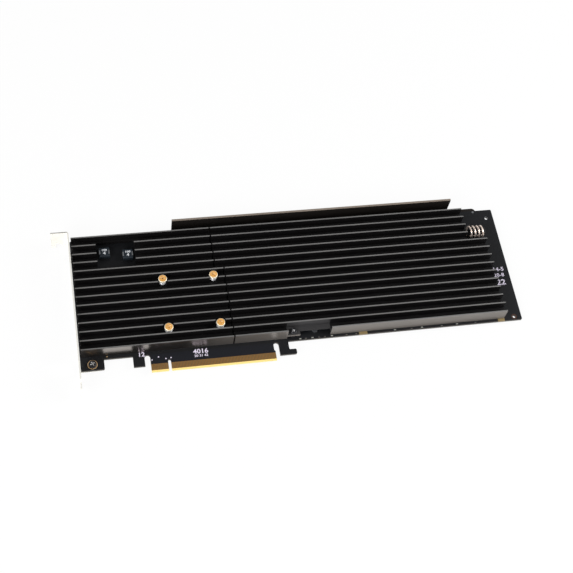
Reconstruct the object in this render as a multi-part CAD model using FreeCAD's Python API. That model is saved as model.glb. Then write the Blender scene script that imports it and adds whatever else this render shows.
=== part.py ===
import FreeCAD, Part
import math
import os

# Full-length adapter card for plug-in solid state drives, lying with its component side up.
# X runs along the card away from the bracket, Y from the edge connector up the card,
# Z out of the component side. The origin is the middle of the connector's key notch,
# on the card's bottom edge and on the component face of the board. All sizes in mm.

vector = FreeCAD.Vector

# board
board_thickness = 1.6
board_left = -59.05
board_length = 312.0
board_height = 106.65
board_bottom = 13.4
board_corner_radius = 0.9
left_tab_width = 15.75
left_tab_bottom = 5.4
tab_recess_top = 12.8
second_tab_width = 7.7
second_tab_bottom = 4.9
connector_slot_width = 3.8
connector_slot_top = 13.0
extender_hole_radius = 1.1
extender_hole_inset = 5.45
extender_hole_low = 16.0
extender_hole_top_inset = 7.25

# edge connector
key_notch_width = 1.9
key_notch_depth = 8.25
contact_pitch = 1.0
contacts_before_key = 11
contacts_after_key = 71
contact_end_margin = 0.825
contact_width = 0.7
contact_bottom = 1.2
contact_length = 4.6
contact_thickness = 0.05
bevel_height = 1.1
bevel_depth = 0.4
connector_shoulder = 6.9
connector_step = 0.7
right_slot_width = 3.6
right_slot_top = 13.2
hook_bottom = 3.45
hook_length = 11.8
hook_height = 3.75
hook_neck = 6.9

# sheet bracket
bracket_sheet = 0.86
bracket_gap = 0.3
bracket_low = -4.0
bracket_width = 18.42
bracket_bend = 0.8
ear_drop = 0.59
ear_length = 11.43
ear_notch_radius = 2.21
ear_notch_inset = 6.1
ear_notch_depth = 5.0
tongue_foot = -13.96
tongue_length = 7.3
tongue_width = 10.19
tongue_chamfer = 2.0
lug_width = 8.0
lug_length = 13.5
lug_relief = 0.4
lug_low = 9.5
lug_top_inset = 12.05
lug_hole_inset = 7.95
vent_across = 5.4
vent_pitch = 6.6
vent_rows = 10
vent_columns = 2

# bracket screws
screw_head_radius = 2.7
screw_head_height = 1.6
screw_radius = 1.45
screw_hole_clearance = 0.15
screw_length = 3.3
recess_length = 3.0
recess_width = 0.8
recess_depth = 0.9

# finned heatsinks
heatsink_bottom = 15.4
heatsink_margin = 3.25
fin_count = 14
fin_tip = 0.9
fin_root = 1.3
leg_thickness = 1.0
heatsink_top = 10.7
base_underside = 2.8
base_thickness = 1.6
switch_sink_inset = 0.85
seam_left = 44.4
seam_gap = 1.0
seam_step = 6.0
seam_step_fins = 5
free_end_margin = 13.25
window_from_left = 16.7
window_length = 26.5
window_from_top = 2.1
window_height = 23.7
window_radius = 1.0
corner_pocket_length = 13.4
corner_pocket_height = 24.4
wall_notch_left = 82.0
wall_notch_right = 112.6
wall_notch_ledge = 9.0
wall_notch_depth = 3.1

# spring-loaded screws of the switch heatsink
spring_screw_x = 1.6
spring_screw_y = 27.4
spring_screw_span_x = 35.3
spring_screw_span_y = 37.6
spring_screw_well = 4.0
spring_screw_head = 3.0
spring_screw_head_height = 2.0
spring_screw_radius = 1.4
spring_screw_end = -3.7
shaft_clearance = 0.2
spring_radius = 2.2
spring_wire = 0.35
spring_turn_count = 3.5
seat_clearance = 0.02
spring_side_count = 4
coil_run_count = 8

# switch chip, its lid and its pad
chip_size = 29.0
chip_ball_height = 0.4
chip_ball_inset = 1.0
chip_substrate = 1.0
lid_size = 25.0
lid_rim = 1.2
lid_rim_drop = 0.4
lid_height = 1.1

# moulded power inductors under the window
inductor_size = 7.3
inductor_height = 3.6
inductor_edge = 0.5
inductor_foot = 2.6
inductor_foot_length = 2.0
inductor_foot_height = 0.25
inductor_offsets = [(5.7, 7.3), (21.8, 10.0)]

# wire-wound choke in the corner pocket
choke_from_sink_end = 4.1
choke_above_ledge = 7.0
choke_height = 4.7
choke_radius = 3.5
choke_wire = 0.6
choke_turn_count = 4
choke_pitch = 2.3
choke_side_count = 6
choke_core_gap = 0.1
choke_core_overhang = 1.2

# drive sockets, posts, screws and pads
drive_pitch = 22.5
first_drive_gap = 1.0
drive_width = 22.0
drive_length = 80.0
drive_underside = 0.95
drive_board = 0.8
socket_width = 21.9
socket_depth = 6.0
socket_height = 2.3
socket_leg_gap = 0.2
socket_mouth = 4.2
socket_wall = 1.0
socket_slot_clearance = 0.1
key_wall = 1.2
key_from_side = 5.1
post_across = 4.2
post_bore = 1.0
drive_pad_width = 19.0
drive_pad_length = 66.0
drive_pad_thickness = 0.5
drive_pad_from_socket = 7.0

# rear plate with its folded flange
plate_thickness = 1.5
plate_bottom = -4.0
plate_from_left = 17.05
plate_beyond_sink = 2.0
plate_low = 18.0
plate_rise = 3.75
plate_corner = 3.0
flange_left = 13.1
flange_from_right = 22.4
flange_gap = 2.85
flange_top = 12.6
flange_bend = 0.6
flange_relief = 1.2
press_nut_across = 5.0
plate_screw_inset = 6.7
plate_screw_low = 26.0
plate_screw_below_pocket = 8.0
plate_screw_radius = 1.2
plate_screw_head = 2.4
plate_screw_head_height = 1.2
plate_screw_tip = 3.6
spacer_across = 5.0
boss_radius = 3.0

# screw that holds the drive heatsink at the wall notch
notch_screw_from_left = 4.4
notch_screw_from_wall = 2.8
notch_boss_radius = 2.0
notch_screw_radius = 1.2
notch_head_radius = 2.25
notch_head_height = 1.5

# small parts along the board's bottom edge
led_length = 1.6
led_width = 0.8
led_height = 0.6
led_places = [91.1, 99.7, 113.5, 158.9, 178.5, 204.3]
strip_part_gap = 0.5
capacitor_length = 1.0
capacitor_width = 0.5
capacitor_height = 0.5
capacitor_places = [95.0, 104.5, 108.5, 124.0, 131.0, 171.0, 193.0, 218.0]

# how many flats draw the bores and shanks that stay hidden
hidden_flat_count = 12

# how far a cut runs past the faces it opens
past = 1.0

# derived places
board_right = board_left + board_length
board_back = -board_thickness
key_half = key_notch_width / 2
connector_left = -key_half - 2 * contact_end_margin - (contacts_before_key - 1) * contact_pitch
connector_right = key_half + 2 * contact_end_margin + (contacts_after_key - 1) * contact_pitch
extender_hole_high = board_height - extender_hole_top_inset
bracket_inner = board_left - bracket_gap
bracket_outer = bracket_inner - bracket_sheet
bracket_high = bracket_low + bracket_width
ear_top = board_height - ear_drop
lug_hole_x = board_left + lug_hole_inset
lug_high = board_height - lug_top_inset
base_top = base_underside + base_thickness
heatsink_high = board_height - heatsink_margin
fin_pitch = (heatsink_high - heatsink_bottom - fin_tip) / (fin_count - 1)
switch_sink_left = board_left + switch_sink_inset
seam_step_y = heatsink_high - (seam_step_fins - 0.5) * fin_pitch - fin_tip / 2
drive_sink_left = seam_left + seam_gap
drive_sink_right = board_right - free_end_margin
window_left = switch_sink_left + window_from_left
window_right = window_left + window_length
window_high = heatsink_high - window_from_top
window_low = window_high - window_height
corner_pocket_left = drive_sink_right - corner_pocket_length
corner_pocket_low = heatsink_high - corner_pocket_height
inductor_places = [(window_left + dx, window_high - dy) for dx, dy in inductor_offsets]
choke_x = drive_sink_right - choke_from_sink_end
choke_y = corner_pocket_low + choke_above_ledge
socket_top = heatsink_high - leg_thickness - socket_leg_gap
plate_top = plate_bottom + plate_thickness
plate_left = board_left + plate_from_left
plate_right = drive_sink_right + plate_beyond_sink
plate_high = board_height + plate_rise
flange_right = plate_right - flange_from_right
flange_inner = board_height + flange_gap
flange_outer = flange_inner + plate_thickness
plate_screw_x = drive_sink_right - plate_screw_inset
plate_screw_high = corner_pocket_low - plate_screw_below_pocket
extender_hole_x = board_right - extender_hole_inset
notch_screw_x = wall_notch_left + notch_screw_from_left
notch_screw_y = heatsink_bottom + notch_screw_from_wall
spring_places = [
    (spring_screw_x + i * spring_screw_span_x, spring_screw_y + j * spring_screw_span_y)
    for j in range(2)
    for i in range(2)
]
chip_x = spring_screw_x + spring_screw_span_x / 2
chip_y = spring_screw_y + spring_screw_span_y / 2
drive_room = drive_sink_right - drive_sink_left - first_drive_gap
drive_places = [
    drive_sink_left + first_drive_gap + drive_width / 2 + i * drive_pitch
    for i in range(int(drive_room / drive_pitch))
]
drive_high = socket_top - socket_depth + socket_mouth
post_y = drive_high - drive_length
plate_screw_places = [(plate_screw_x, plate_screw_low), (plate_screw_x, plate_screw_high)]
spring_screw_underside = heatsink_top - spring_screw_head_height


def box(x0, x1, y0, y1, z0, z1):
    """A block between two corners."""
    return Part.makeBox(x1 - x0, y1 - y0, z1 - z0, vector(x0, y0, z0))


def rod(x, y, radius, z0, z1):
    """An upright cylinder."""
    return Part.makeCylinder(radius, z1 - z0, vector(x, y, z0), vector(0, 0, 1))


def pin(x, y, radius, z0, z1):
    """An upright bore or shank out of sight, drawn with flats at the radius."""
    return flat_prism(polygon(x, y, 2 * radius, hidden_flat_count), z0, z1)


def outline(corners, place):
    """A closed face through (u, v) or (u, v, radius) corners, mapped into space by place."""
    points = [vector(c[0], c[1], 0) for c in corners]
    radii = [c[2] if len(c) > 2 else 0.0 for c in corners]
    count = len(points)
    starts = []
    ends = []
    mids = []
    for i in range(count):
        here = points[i]
        back = (points[i - 1] - here).normalize()
        ahead = (points[(i + 1) % count] - here).normalize()
        if radii[i] > 0:
            half = back.getAngle(ahead) / 2
            reach = radii[i] / math.tan(half)
            middle = (back + ahead).normalize()
            centre = here + middle * (radii[i] / math.sin(half))
            starts.append(here + back * reach)
            ends.append(here + ahead * reach)
            mids.append(centre - middle * radii[i])
        else:
            starts.append(here)
            ends.append(here)
            mids.append(None)
    edges = []
    for i in range(count):
        if mids[i] is not None:
            arc = Part.Arc(place(starts[i]), place(mids[i]), place(ends[i]))
            edges.append(arc.toShape())
        after = starts[(i + 1) % count]
        if (after - ends[i]).Length > 1e-6:
            edges.append(Part.LineSegment(place(ends[i]), place(after)).toShape())
    return Part.Face(Part.Wire(edges))


def flat_prism(corners, z0, z1):
    """An outline in X and Y raised from z0 to z1."""
    face = outline(corners, lambda p: vector(p.x, p.y, z0))
    return face.extrude(vector(0, 0, z1 - z0))


def long_prism(corners, x0, x1):
    """An outline in Y and Z drawn along X."""
    face = outline(corners, lambda p: vector(x0, p.x, p.y))
    return face.extrude(vector(x1 - x0, 0, 0))


def cross_prism(corners, y0, y1):
    """An outline in X and Z drawn along Y."""
    face = outline(corners, lambda p: vector(p.x, y0, p.y))
    return face.extrude(vector(0, y1 - y0, 0))


def polygon(u, v, across, sides):
    """The corners of an even polygon that measures across from flat to flat."""
    reach = across / 2 / math.cos(math.pi / sides)
    angles = [2 * math.pi * i / sides for i in range(sides)]
    return [(u + reach * math.cos(a), v + reach * math.sin(a)) for a in angles]


def hexagon(u, v, across):
    return polygon(u, v, across, 6)


def write(name, shapes):
    """One node: a single solid, or a group of separate solids."""
    solids = []
    for shape in shapes:
        solids.extend(shape.Solids)
    for solid in solids:
        if not solid.isValid():
            raise ValueError(name + " holds a solid that is not valid")
    result = solids[0] if len(solids) == 1 else Part.makeCompound(solids)
    result.exportStep("parts/" + name + ".step")


def cross_recess(x, y, z0, z1):
    """The cross-shaped driver recess of a screw head."""
    half_long = recess_length / 2
    half_wide = recess_width / 2
    first = box(x - half_long, x + half_long, y - half_wide, y + half_wide, z0, z1)
    second = box(x - half_wide, x + half_wide, y - half_long, y + half_long, z0, z1)
    return first.fuse(second)


def headed_screw(x, y, head, shank, end, seat, height):
    """A cross-recess screw: round head above the seat, shank down to its end."""
    top = seat + height
    screw = rod(x, y, head, seat, top).fuse(pin(x, y, shank, end, seat))
    return screw.cut(cross_recess(x, y, top - recess_depth, top + past))


def board():
    slot_left = connector_left - connector_slot_width
    slot_round = connector_slot_width / 2
    second_left = slot_left - second_tab_width
    tab_right = board_left + left_tab_width
    step_x = connector_right - connector_step
    right_slot_round = right_slot_width / 2
    hook_left = step_x + right_slot_width
    hook_right = hook_left + hook_length
    hook_top = hook_bottom + hook_height
    neck_right = hook_left + hook_neck
    corner = board_corner_radius
    notch_round = key_half
    corners = [
        (board_left, left_tab_bottom, corner),
        (tab_right, left_tab_bottom, corner),
        (tab_right, tab_recess_top),
        (second_left, tab_recess_top),
        (second_left, second_tab_bottom),
        (slot_left, second_tab_bottom),
        (slot_left, connector_slot_top, slot_round),
        (connector_left, connector_slot_top, slot_round),
        (connector_left, 0),
        (-key_half, 0),
        (-key_half, key_notch_depth, notch_round),
        (key_half, key_notch_depth, notch_round),
        (key_half, 0),
        (connector_right, 0),
        (connector_right, connector_shoulder),
        (step_x, connector_shoulder + connector_step),
        (step_x, right_slot_top, right_slot_round),
        (hook_left, right_slot_top, right_slot_round),
        (hook_left, hook_bottom),
        (hook_right, hook_bottom, corner),
        (hook_right, hook_top, corner),
        (neck_right, hook_top, corner),
        (neck_right, board_bottom, corner),
        (board_right, board_bottom, corner),
        (board_right, board_height, corner),
        (board_left, board_height, corner),
    ]
    plate = flat_prism(corners, board_back, 0)
    front_bevel = [
        (-past, -bevel_depth),
        (0, -bevel_depth),
        (bevel_height, 0),
        (bevel_height, past),
        (-past, past),
    ]
    back_bevel = [(y, board_back - z) for y, z in reversed(front_bevel)]
    cuts = [
        long_prism(front_bevel, connector_left - past, connector_right + past),
        long_prism(back_bevel, connector_left - past, connector_right + past),
    ]
    for y in (extender_hole_low, extender_hole_high):
        cuts.append(rod(extender_hole_x, y, extender_hole_radius, board_back - past, past))
    for y in (lug_low, lug_high):
        cuts.append(pin(lug_hole_x, y, screw_radius + screw_hole_clearance, board_back - past, past))
    for x, y in spring_places:
        cuts.append(pin(x, y, spring_screw_radius + shaft_clearance, board_back - past, past))
    for x, y in plate_screw_places:
        cuts.append(pin(x, y, plate_screw_radius + shaft_clearance, board_back - past, past))
    cuts.append(
        pin(notch_screw_x, notch_screw_y, notch_screw_radius + shaft_clearance, board_back - past, past)
    )
    return plate.cut(cuts)


def contacts():
    centres = [-key_half - contact_end_margin - i * contact_pitch for i in range(contacts_before_key)]
    centres += [key_half + contact_end_margin + i * contact_pitch for i in range(contacts_after_key)]
    top = contact_bottom + contact_length
    half = contact_width / 2
    faces = [(0, contact_thickness), (board_back - contact_thickness, board_back)]
    return [
        box(x - half, x + half, contact_bottom, top, z0, z1) for x in centres for z0, z1 in faces
    ]


def bracket():
    ear_under = ear_top - bracket_sheet
    ear_end = bracket_outer - ear_length
    shoulder = tongue_foot + tongue_length
    sheet_corners = [
        (ear_end, ear_under),
        (bracket_outer, ear_under, bracket_bend),
        (bracket_outer, shoulder),
        (bracket_inner, shoulder),
        (bracket_inner, ear_top, bracket_bend + bracket_sheet),
        (ear_end, ear_top),
    ]
    sheet = flat_prism(sheet_corners, bracket_low, bracket_high)
    middle = (bracket_low + bracket_high) / 2
    half = tongue_width / 2
    tongue_corners = [
        (shoulder, middle - half),
        (tongue_foot + tongue_chamfer, middle - half),
        (tongue_foot, middle - half + tongue_chamfer),
        (tongue_foot, middle + half - tongue_chamfer),
        (tongue_foot + tongue_chamfer, middle + half),
        (shoulder, middle + half),
    ]
    tongue = long_prism(tongue_corners, bracket_outer, bracket_inner)
    notch_x = bracket_outer - ear_notch_inset
    notch_top = bracket_low + ear_notch_depth
    notch_corners = [
        (notch_x - ear_notch_radius, bracket_low - past),
        (notch_x + ear_notch_radius, bracket_low - past),
        (notch_x + ear_notch_radius, notch_top, ear_notch_radius),
        (notch_x - ear_notch_radius, notch_top, ear_notch_radius),
    ]
    cuts = [cross_prism(notch_corners, ear_under - past, ear_top + past)]
    lug_top = board_back
    lug_under = lug_top - bracket_sheet
    hinge = lug_under - bracket_bend
    lug_end = bracket_inner + lug_length
    window_top = lug_top + lug_length - bracket_bend
    lugs = []
    for y in (lug_low, lug_high):
        reach = lug_width / 2 + lug_relief
        window = box(
            bracket_outer - past, bracket_inner + past, y - reach, y + reach, hinge, window_top
        )
        cuts.append(window)
        lug_corners = [
            (bracket_outer, hinge),
            (bracket_inner, hinge),
            (bracket_inner, lug_under, bracket_bend * 0.99),
            (lug_end, lug_under),
            (lug_end, lug_top),
            (bracket_outer, lug_top, bracket_bend + bracket_sheet),
        ]
        lug = cross_prism(lug_corners, y - lug_width / 2, y + lug_width / 2)
        lugs.append(lug.cut(pin(lug_hole_x, y, screw_radius, lug_under - past, lug_top + past)))
    vent_middle = (lug_low + lug_high) / 2
    for row in range(vent_rows):
        y = vent_middle + (row - (vent_rows - 1) / 2) * vent_pitch
        for column in range(vent_columns):
            z = middle + (column - (vent_columns - 1) / 2) * vent_pitch
            cuts.append(long_prism(hexagon(y, z, vent_across), bracket_outer - past, bracket_inner + past))
    return sheet.fuse(tongue).cut(cuts).fuse(lugs).removeSplitter()


def bracket_screws():
    return [
        headed_screw(lug_hole_x, y, screw_head_radius, screw_radius, -screw_length, 0, screw_head_height)
        for y in (lug_low, lug_high)
    ]


def heatsink_section():
    """The extruded section: a base with tapered fins and two outer legs down to the board."""
    swell = (fin_root - fin_tip) / 2
    corners = [(heatsink_bottom, 0), (heatsink_bottom, heatsink_top)]
    for i in range(fin_count):
        left = heatsink_bottom + i * fin_pitch
        right = left + fin_tip
        if i > 0:
            corners.append((left - swell, base_top))
            corners.append((left, heatsink_top))
        corners.append((right, heatsink_top))
        if i < fin_count - 1:
            corners.append((right + swell, base_top))
    corners.append((heatsink_high, 0))
    corners.append((heatsink_high - leg_thickness, 0))
    corners.append((heatsink_high - leg_thickness, base_underside))
    corners.append((heatsink_bottom + leg_thickness, base_underside))
    corners.append((heatsink_bottom + leg_thickness, 0))
    return corners


def switch_heatsink():
    body = long_prism(heatsink_section(), switch_sink_left, seam_left)
    window = [
        (window_left, window_low, window_radius),
        (window_right, window_low, window_radius),
        (window_right, window_high, window_radius),
        (window_left, window_high, window_radius),
    ]
    beyond = heatsink_top + past
    cuts = [
        flat_prism(window, -past, beyond),
        box(
            seam_left - seam_step,
            seam_left + past,
            seam_step_y - seam_gap / 2,
            heatsink_high + past,
            -past,
            beyond,
        ),
    ]
    for x, y in spring_places:
        cuts.append(rod(x, y, spring_screw_well, base_top, beyond))
        cuts.append(pin(x, y, spring_screw_radius + shaft_clearance, 0, base_top))
    return body.cut(cuts)


def drive_heatsink():
    body = long_prism(heatsink_section(), drive_sink_left - seam_step, drive_sink_right)
    beyond = heatsink_top + past
    pocket = [
        (corner_pocket_left, corner_pocket_low, window_radius),
        (drive_sink_right + past, corner_pocket_low),
        (drive_sink_right + past, heatsink_high + past),
        (corner_pocket_left, heatsink_high + past),
    ]
    first_channel = heatsink_bottom + fin_pitch - (fin_root - fin_tip) / 2
    ledge_end = wall_notch_left + wall_notch_ledge
    cuts = [
        box(
            drive_sink_left - seam_step - past,
            drive_sink_left,
            heatsink_bottom - past,
            seam_step_y + seam_gap / 2,
            -past,
            beyond,
        ),
        flat_prism(pocket, -past, beyond),
        box(wall_notch_left, wall_notch_right, heatsink_bottom - past, first_channel, base_top, beyond),
        box(
            wall_notch_left,
            wall_notch_right,
            heatsink_bottom - past,
            heatsink_bottom + leg_thickness,
            -past,
            base_underside,
        ),
        box(
            ledge_end,
            wall_notch_right,
            heatsink_bottom - past,
            heatsink_bottom + wall_notch_depth,
            -past,
            beyond,
        ),
    ]
    bosses = [pin(x, y, boss_radius, 0, base_underside) for x, y in plate_screw_places]
    bosses.append(pin(notch_screw_x, notch_screw_y, notch_boss_radius, 0, base_underside))
    holes = [pin(x, y, plate_screw_radius, -past, plate_screw_tip) for x, y in plate_screw_places]
    holes.append(
        pin(notch_screw_x, notch_screw_y, notch_screw_radius + shaft_clearance, -past, beyond)
    )
    return body.cut(cuts).fuse(bosses).cut(holes)


def notch_screw():
    return headed_screw(
        notch_screw_x,
        notch_screw_y,
        notch_head_radius,
        notch_screw_radius,
        spring_screw_end,
        base_top,
        notch_head_height,
    )


def spring_screws():
    return [
        headed_screw(
            x,
            y,
            spring_screw_head,
            spring_screw_radius,
            spring_screw_end,
            spring_screw_underside,
            spring_screw_head_height,
        )
        for x, y in spring_places
    ]


def coil(radius, wire, pitch, turns, sides):
    """A wire wound about Z in short straight runs, its first turn starting on +X at height 0."""
    path = []
    for i in range(round(turns * coil_run_count) + 1):
        angle = 2 * math.pi * i / coil_run_count
        path.append(vector(radius * math.cos(angle), radius * math.sin(angle), pitch * i / coil_run_count))
    section = []
    for i in range(sides):
        angle = 2 * math.pi * (i + 0.5) / sides
        section.append(vector(radius + wire * math.cos(angle), 0, wire * math.sin(angle)))
    section.append(section[0])
    mitred = 1
    spine = Part.makePolygon(path)
    return spine.makePipeShell([Part.makePolygon(section)], True, False, mitred)


def screw_springs():
    room = spring_screw_underside - base_top - 2 * spring_wire - 2 * seat_clearance
    one = coil(spring_radius, spring_wire, room / spring_turn_count, spring_turn_count, spring_side_count)
    springs = []
    for x, y in spring_places:
        spring = one.copy()
        spring.translate(vector(x, y, base_top + spring_wire + seat_clearance))
        springs.append(spring)
    return springs


def square(size, z0, z1):
    """A square plate centred over the chip."""
    half = size / 2
    return box(chip_x - half, chip_x + half, chip_y - half, chip_y + half, z0, z1)


def switch_chip():
    balls = square(chip_size - 2 * chip_ball_inset, 0, chip_ball_height)
    substrate = square(chip_size, chip_ball_height, chip_ball_height + chip_substrate)
    return balls.fuse(substrate)


def switch_lid():
    foot = chip_ball_height + chip_substrate
    brim = square(lid_size, foot, foot + lid_height - lid_rim_drop)
    crown = square(lid_size - 2 * lid_rim, foot, foot + lid_height)
    return brim.fuse(crown)


def switch_pad():
    low = chip_ball_height + chip_substrate + lid_height
    return square(lid_size - 2 * lid_rim, low, base_underside)


def power_inductors():
    half = inductor_size / 2
    parts = []
    for x, y in inductor_places:
        low = inductor_foot_height
        body = box(x - half, x + half, y - half, y + half, low, inductor_height)
        upright = [
            edge for edge in body.Edges if edge.BoundBox.ZLength > inductor_height - low - 1e-6
        ]
        body = body.makeChamfer(inductor_edge, upright)
        rim = [edge for edge in body.Edges if edge.BoundBox.ZMin > inductor_height - 1e-6]
        body = body.makeChamfer(inductor_edge / 2, rim)
        for side in (-1, 1):
            foot_x = x + side * (half - inductor_foot_length / 2)
            foot = box(
                foot_x - inductor_foot_length / 2,
                foot_x + inductor_foot_length / 2,
                y - inductor_foot / 2,
                y + inductor_foot / 2,
                0,
                low,
            )
            body = body.fuse(foot)
        parts.append(body)
    return parts


def choke_winding():
    length = choke_pitch * choke_turn_count
    winding = coil(choke_radius, choke_wire, choke_pitch, choke_turn_count, choke_side_count)
    # turn the coil's axis from Z to X; its ends then hang at the bottom
    winding.rotate(vector(0, 0, 0), vector(0, 1, 0), 90)
    winding.translate(vector(choke_x - length / 2, choke_y, choke_height))
    legs = []
    for side in (-1, 1):
        section = hexagon(choke_x + side * length / 2, choke_y, choke_wire * math.sqrt(3))
        legs.append(flat_prism(section, 0, choke_height - choke_radius))
    return winding.fuse(legs)


def choke_core():
    length = choke_pitch * choke_turn_count + 2 * choke_core_overhang
    radius = choke_radius * math.cos(math.pi / coil_run_count) - choke_wire - choke_core_gap
    start = vector(choke_x - length / 2, choke_y, choke_height)
    return Part.makeCylinder(radius, length, start, vector(1, 0, 0))


def drive_sockets():
    sockets = []
    low = socket_top - socket_depth
    slot_low = drive_underside - socket_slot_clearance
    slot_high = drive_underside + drive_board + socket_slot_clearance
    for x in drive_places:
        half = socket_width / 2
        body = box(x - half, x + half, low, socket_top, 0, socket_height)
        inside = half - socket_wall
        mouth = box(x - inside, x + inside, low - past, low + socket_mouth, slot_low, slot_high)
        key_x = x - half + key_from_side
        key = box(key_x, key_x + key_wall, low, low + socket_mouth, slot_low, slot_high)
        sockets.append(body.cut(mouth).fuse(key))
    return sockets


def drive_posts():
    posts = []
    for x in drive_places:
        post = flat_prism(hexagon(x, post_y, post_across), 0, drive_underside)
        posts.append(post.cut(pin(x, post_y, post_bore, -past, drive_underside + past)))
    return posts


def drive_pads():
    half = drive_pad_width / 2
    high = socket_top - drive_pad_from_socket
    low = high - drive_pad_length
    under = base_underside - drive_pad_thickness
    return [box(x - half, x + half, low, high, under, base_underside) for x in drive_places]


def rear_plate():
    corners = [
        (plate_left, plate_low, plate_corner),
        (plate_right, plate_low, plate_corner),
        (plate_right, plate_high, plate_corner),
        (plate_left, plate_high, plate_corner),
    ]
    plate = flat_prism(corners, plate_bottom, plate_top)
    for x in (flange_left - flange_relief, flange_right):
        relief = box(
            x,
            x + flange_relief,
            flange_inner - flange_bend,
            flange_outer,
            plate_bottom - past,
            plate_top + past,
        )
        plate = plate.cut(relief)
    plate = plate.cut(
        box(
            flange_left,
            flange_right,
            flange_inner - flange_bend,
            flange_outer,
            plate_bottom - past,
            plate_top + past,
        )
    )
    flange_corners = [
        (flange_inner - flange_bend, plate_bottom),
        (flange_outer, plate_bottom, flange_bend + plate_thickness),
        (flange_outer, flange_top),
        (flange_inner, flange_top),
        (flange_inner, plate_top, flange_bend * 0.99),
        (flange_inner - flange_bend, plate_top),
    ]
    plate = plate.fuse(long_prism(flange_corners, flange_left, flange_right))
    cuts = [
        flat_prism(hexagon(x, y, press_nut_across), plate_bottom - past, plate_top + past)
        for x, y in nut_places()
    ]
    for x, y in plate_screw_places:
        cuts.append(pin(x, y, plate_screw_radius + shaft_clearance, plate_bottom - past, plate_top + past))
        cuts.append(countersink(x, y))
    return plate.cut(cuts)


def nut_places():
    return spring_places + [(notch_screw_x, notch_screw_y)]


def countersink(x, y):
    """The sloped head of a flat-headed screw, widest at the plate's outer face."""
    foot = plate_bottom + plate_screw_head_height
    rims = []
    for radius, z in ((plate_screw_head, plate_bottom), (plate_screw_radius, foot)):
        rim = outline(polygon(x, y, 2 * radius, 2 * hidden_flat_count), lambda p: vector(p.x, p.y, z))
        rims.append(rim.OuterWire)
    return Part.makeLoft(rims, True, True)


def press_nuts():
    bores = [spring_screw_radius] * len(spring_places) + [notch_screw_radius]
    nuts = []
    for (x, y), bore in zip(nut_places(), bores):
        nut = flat_prism(hexagon(x, y, press_nut_across), plate_bottom, board_back)
        nuts.append(nut.cut(pin(x, y, bore, plate_bottom - past, board_back + past)))
    return nuts


def plate_screws():
    screws = []
    for x, y in plate_screw_places:
        shank = pin(x, y, plate_screw_radius, plate_bottom, plate_screw_tip)
        screw = countersink(x, y).fuse(shank)
        screws.append(screw.cut(cross_recess(x, y, plate_bottom - past, plate_bottom + recess_depth)))
    return screws


def plate_spacers():
    spacers = []
    for x, y in plate_screw_places:
        ring = flat_prism(hexagon(x, y, spacer_across), plate_top, board_back)
        inside = pin(x, y, plate_screw_radius + shaft_clearance, plate_top - past, board_back + past)
        spacers.append(ring.cut(inside))
    return spacers


def strip_parts(places, length, width, height):
    """Small upright-standing chips in a row along the board's bottom edge."""
    low = board_bottom + strip_part_gap
    return [box(x - length / 2, x + length / 2, low, low + width, 0, height) for x in places]


os.makedirs("parts", exist_ok=True)
write("circuit_board", [board()])
write("edge_contacts", contacts())
write("slot_bracket", [bracket()])
write("bracket_screws", bracket_screws())
write("switch_heatsink", [switch_heatsink()])
write("drive_heatsink", [drive_heatsink()])
write("notch_screw", [notch_screw()])
write("spring_screws", spring_screws())
write("screw_springs", screw_springs())
write("switch_chip", [switch_chip()])
write("switch_lid", [switch_lid()])
write("switch_pad", [switch_pad()])
write("power_inductors", power_inductors())
write("choke_winding", [choke_winding()])
write("choke_core", [choke_core()])
write("drive_sockets", drive_sockets())
write("drive_posts", drive_posts())
write("drive_pads", drive_pads())
write("rear_plate", [rear_plate()])
write("press_nuts", press_nuts())
write("plate_screws", plate_screws())
write("plate_spacers", plate_spacers())
write("status_lights", strip_parts(led_places, led_length, led_width, led_height))
write(
    "strip_capacitors",
    strip_parts(capacitor_places, capacitor_length, capacitor_width, capacitor_height),
)
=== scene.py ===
import math

import bpy
from mathutils import Matrix, Vector


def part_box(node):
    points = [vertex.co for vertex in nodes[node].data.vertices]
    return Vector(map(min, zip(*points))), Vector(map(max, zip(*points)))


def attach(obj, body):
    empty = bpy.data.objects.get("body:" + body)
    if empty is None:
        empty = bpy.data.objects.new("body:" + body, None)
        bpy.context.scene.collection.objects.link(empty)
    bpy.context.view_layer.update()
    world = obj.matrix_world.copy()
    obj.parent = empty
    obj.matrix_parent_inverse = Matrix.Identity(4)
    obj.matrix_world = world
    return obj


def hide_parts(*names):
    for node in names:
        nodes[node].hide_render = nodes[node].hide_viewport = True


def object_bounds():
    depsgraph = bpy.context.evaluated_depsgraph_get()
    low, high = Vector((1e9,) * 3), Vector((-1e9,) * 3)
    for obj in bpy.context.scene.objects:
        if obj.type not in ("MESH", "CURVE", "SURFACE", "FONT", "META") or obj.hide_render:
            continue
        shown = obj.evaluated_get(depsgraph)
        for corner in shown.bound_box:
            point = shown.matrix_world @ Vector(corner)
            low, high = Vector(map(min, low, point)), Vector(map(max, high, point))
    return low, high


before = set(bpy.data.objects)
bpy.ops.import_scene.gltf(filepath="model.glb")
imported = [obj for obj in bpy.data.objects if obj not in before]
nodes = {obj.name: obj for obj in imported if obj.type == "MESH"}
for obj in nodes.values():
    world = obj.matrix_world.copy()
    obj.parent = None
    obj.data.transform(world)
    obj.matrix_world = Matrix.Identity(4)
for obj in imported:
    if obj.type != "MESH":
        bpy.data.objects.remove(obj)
cadLow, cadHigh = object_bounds()
mm = 0.001
upright = 0.9  # a face whose normal goes further than this along Z looks straight up
print("card frame loaded")


def deselectAll():
    if bpy.context.object and bpy.context.object.mode != "OBJECT":
        bpy.ops.object.mode_set(mode="OBJECT")
    bpy.ops.object.select_all(action="DESELECT")


def pickOnly(piece):
    deselectAll()
    piece.select_set(True)
    bpy.context.view_layer.objects.active = piece


def nameNew(name):
    piece = bpy.context.active_object
    piece.name = name
    piece.data.name = name
    return piece


def bakePlace(piece):  # the object's place goes into its mesh
    pickOnly(piece)
    bpy.ops.object.transform_apply(location=True, rotation=True, scale=True)
    return piece


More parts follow.
